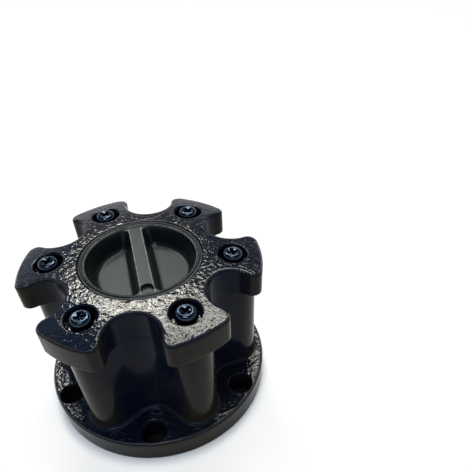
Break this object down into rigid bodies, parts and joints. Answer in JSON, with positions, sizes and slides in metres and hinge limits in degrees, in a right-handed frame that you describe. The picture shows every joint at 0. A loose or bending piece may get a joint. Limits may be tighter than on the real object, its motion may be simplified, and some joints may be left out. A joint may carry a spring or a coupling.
{
  "type": "manual locking hub",
  "caption": "Flanged black locking hub with a scooped pillared housing, a lobed screwed cap and a hand dial that slides a toothed clutch ring.",
  "frame": {"origin": "centre of the flange's mounting face, on the hub's axis", "axes": "+Z out of the mounting face along the hub's axis towards the dial; +X towards the middle of one lobe"},
  "size_m": [0.108, 0.108, 0.0755],
  "materials": {
    "black_cast_paint": "gloss black paint over cast grain",
    "black_dial": "satin black",
    "screw_steel": "bright zinc",
    "machined_steel": "machined, lightly oiled",
    "spring_steel": "dark spring wire",
    "bearing_brass": "turned",
    "seal_rubber": "matte"
  },
  "bodies": {
    "housing": {"hub_body": "black_cast_paint", "hub_cap": "black_cast_paint", "cap_screws": "screw_steel", "cap_o_ring": "seal_rubber", "inner_bearing": "bearing_brass", "thrust_washer": "machined_steel", "bearing_snap_ring": "spring_steel", "return_spring": "spring_steel"},
    "dial": {"dial": "black_dial", "dial_o_ring": "seal_rubber", "dial_snap_ring": "spring_steel", "detent_spring": "spring_steel"},
    "detent": {"detent_ball": "machined_steel"},
    "clutch": {"cam_follower": "machined_steel", "follower_pins": "machined_steel", "follower_snap_ring": "spring_steel", "engagement_spring": "spring_steel", "clutch_ring": "machined_steel"},
    "inner": {"inner_hub": "machined_steel", "inner_snap_ring": "spring_steel"}
  },
  "joints": [
    {"name": "dial_turn", "type": "hinge", "parent": "housing", "child": "dial", "pos_m": [0, 0, 0.07], "axis": [0, 0, -1], "range_deg": [0, 90]},
    {"name": "clutch_slide", "type": "slide", "parent": "housing", "child": "clutch", "axis": [0, 0, -1], "range_m": [0, 0.008], "deforming": ["return_spring"]},
    {"name": "inner_hub_spin", "type": "hinge", "parent": "housing", "child": "inner", "pos_m": [0, 0, 0.02], "axis": [0, 0, 1], "continuous": true},
    {"name": "detent_ball_travel", "type": "slide", "parent": "dial", "child": "detent", "axis": [0, 0, -1], "range_m": [0, 0.0004], "stiffness_N_per_m": 500, "springref_m": 0.002, "deforming": ["detent_spring"]}
  ],
  "couplings": [
    {"joint": "clutch_slide", "follows": "dial_turn", "m_per_rad": 0.0050929}
  ]
}
